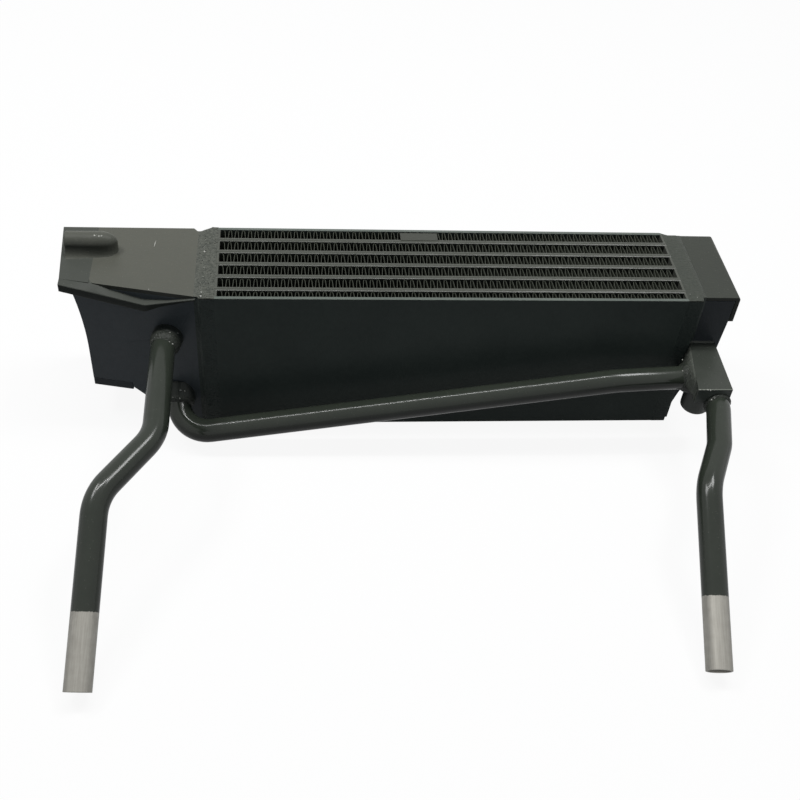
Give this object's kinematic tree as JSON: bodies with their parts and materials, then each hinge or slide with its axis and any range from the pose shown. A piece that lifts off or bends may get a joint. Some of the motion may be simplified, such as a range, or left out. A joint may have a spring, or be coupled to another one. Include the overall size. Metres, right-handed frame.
{
  "type": "oil cooler",
  "caption": "Flat bar and plate oil cooler with welded end tanks, two hose pipes on one side and a bypass pipe that runs past its core.",
  "frame": {"origin": "middle of the core's back air face, which the cooler lies on", "axes": "+X along the core towards the junction block, +Y across the stack away from the pipes, +Z along the air path away from the back air face"},
  "size_m": [0.6214, 0.4105, 0.1734],
  "materials": {
    "paint": "satin",
    "fin_paint": "matte",
    "bare_metal": "satin"
  },
  "bodies": {
    "root": {"air_fin_1": "fin_paint", "air_fin_2": "fin_paint", "air_fin_3": "fin_paint", "air_fin_4": "fin_paint", "air_fin_5": "fin_paint", "air_fin_6": "fin_paint", "blank_tag": "paint", "block_weld": "paint", "boss": "paint", "boss_weld": "paint", "bracket_arm": "paint", "bypass_collar": "paint", "bypass_pipe": "paint", "bypass_weld": "paint", "end_bars_1": "paint", "end_bars_2": "paint", "end_bars_3": "paint", "end_bars_4": "paint", "end_bars_5": "paint", "end_bars_6": "paint", "inlet_pipe": "paint", "junction_block": "paint", "junction_pot": "paint", "left_core_weld": "paint", "left_cover": "paint", "left_end_wall": "paint", "left_far_wall": "paint", "left_floor": "paint", "left_near_wall": "paint", "lower_bracket": "paint", "oil_bars_1": "paint", "oil_bars_2": "paint", "oil_bars_3": "paint", "oil_bars_4": "paint", "oil_bars_5": "paint", "oil_fin_1": "bare_metal", "oil_fin_2": "bare_metal", "oil_fin_3": "bare_metal", "oil_fin_4": "bare_metal", "oil_fin_5": "bare_metal", "outlet_collar": "paint", "outlet_pipe": "paint", "outlet_weld": "paint", "pot_cap": "paint", "right_core_weld": "paint", "right_cover": "paint", "right_end_wall": "paint", "right_far_wall": "paint", "right_near_wall": "paint", "side_plate_far": "paint", "side_plate_near": "paint", "tube_sheets_1": "paint", "tube_sheets_2": "paint", "tube_sheets_3": "paint", "tube_sheets_4": "paint", "tube_sheets_5": "paint", "upper_bracket": "paint"}
  },
  "joints": []
}
